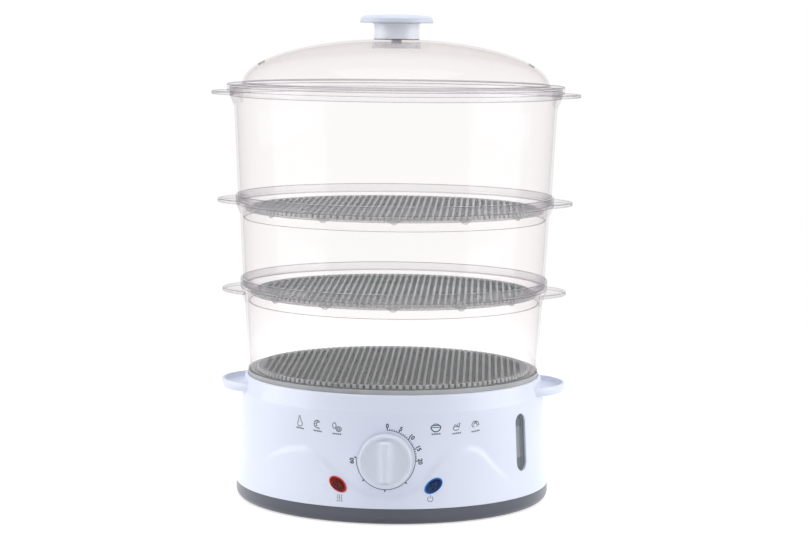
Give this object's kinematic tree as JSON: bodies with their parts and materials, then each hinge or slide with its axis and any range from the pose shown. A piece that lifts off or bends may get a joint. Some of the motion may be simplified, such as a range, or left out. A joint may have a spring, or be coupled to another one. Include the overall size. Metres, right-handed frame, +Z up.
{
  "type": "electric food steamer",
  "caption": "Round electric food steamer: white base with timer dial, lamps and water gauge, stacked clear perforated baskets and a domed clear lid with a knob.",
  "frame": {"origin": "on the table, under the vertical axis of the housing, baskets and lid; the bounding box's bottom centre is 2.7 mm in front of it because the timer knob stands out at the front", "axes": "+Z up, -Y out of the front where the timer knob is, +X to the right seen from the front"},
  "size_m": [0.3046, 0.2837, 0.3993],
  "materials": {
    "white_plastic": "gloss",
    "grey_plastic": "satin",
    "rubber": "matt",
    "screw_steel": "satin",
    "tank_plastic": "gloss",
    "heater_metal": "satin",
    "silicone": "matt",
    "clamp_steel": "satin",
    "element_metal": "matt",
    "dark_plastic": "matt",
    "fuse_ceramic": "matt",
    "gauge_clear": "gloss",
    "cream_plastic": "matt",
    "red_lens": "gloss",
    "blue_lens": "gloss",
    "lamp_glass": "gloss",
    "wire_cover": "matt",
    "tray_plastic": "satin",
    "clear_plastic": "gloss"
  },
  "bodies": {
    "base": {"base_shell": "white_plastic", "foot_pan": "grey_plastic", "rubber_feet": "rubber", "base_screws": "screw_steel", "water_tank": "tank_plastic", "heater_plate": "heater_metal", "heater_seal": "silicone", "heater_clamp": "clamp_steel", "clamp_screws": "screw_steel", "heating_element": "element_metal", "thermostat": "dark_plastic", "thermal_fuse": "fuse_ceramic", "gauge_chamber": "grey_plastic", "gauge_window": "gauge_clear", "timer_body": "cream_plastic", "timer_screws": "screw_steel", "heating_lens": "red_lens", "power_lens": "blue_lens", "lamp_holders": "cream_plastic", "neon_lamps": "lamp_glass", "terminal_block": "cream_plastic", "inner_wires": "wire_cover", "cord_gland": "dark_plastic"},
    "timer": {"timer_shaft": "screw_steel", "timer_knob": "white_plastic"},
    "steam_ring": {"steam_ring": "tank_plastic"},
    "drip_tray": {"drip_tray": "tray_plastic"},
    "lower_basket": {"lower_basket": "clear_plastic", "lower_floor": "clear_plastic"},
    "middle_basket": {"middle_basket": "clear_plastic", "middle_floor": "clear_plastic"},
    "upper_basket": {"upper_basket": "clear_plastic", "upper_floor": "clear_plastic"},
    "lid": {"lid": "clear_plastic", "lid_knob": "white_plastic", "lid_washer": "screw_steel", "lid_screw": "screw_steel"}
  },
  "joints": [
    {"name": "timer_turn", "type": "hinge", "parent": "base", "child": "timer", "pos_m": [0, -0.12765, 0.052], "axis": [0, 0.9981, -0.061], "range_deg": [0, 270]},
    {"name": "steam_ring_lift", "type": "slide", "parent": "base", "child": "steam_ring", "axis": [0, 0, 1], "range_m": [0, 0.08]},
    {"name": "drip_tray_lift", "type": "slide", "parent": "steam_ring", "child": "drip_tray", "axis": [0, 0, 1], "range_m": [0, 0.06]},
    {"name": "lower_basket_lift", "type": "slide", "parent": "drip_tray", "child": "lower_basket", "axis": [0, 0, 1], "range_m": [0, 0.04]},
    {"name": "middle_basket_lift", "type": "slide", "parent": "lower_basket", "child": "middle_basket", "axis": [0, 0, 1], "range_m": [0, 0.06]},
    {"name": "upper_basket_lift", "type": "slide", "parent": "middle_basket", "child": "upper_basket", "axis": [0, 0, 1], "range_m": [0, 0.06]},
    {"name": "lid_lift", "type": "slide", "parent": "upper_basket", "child": "lid", "axis": [0, 0, 1], "range_m": [0, 0.08]}
  ]
}
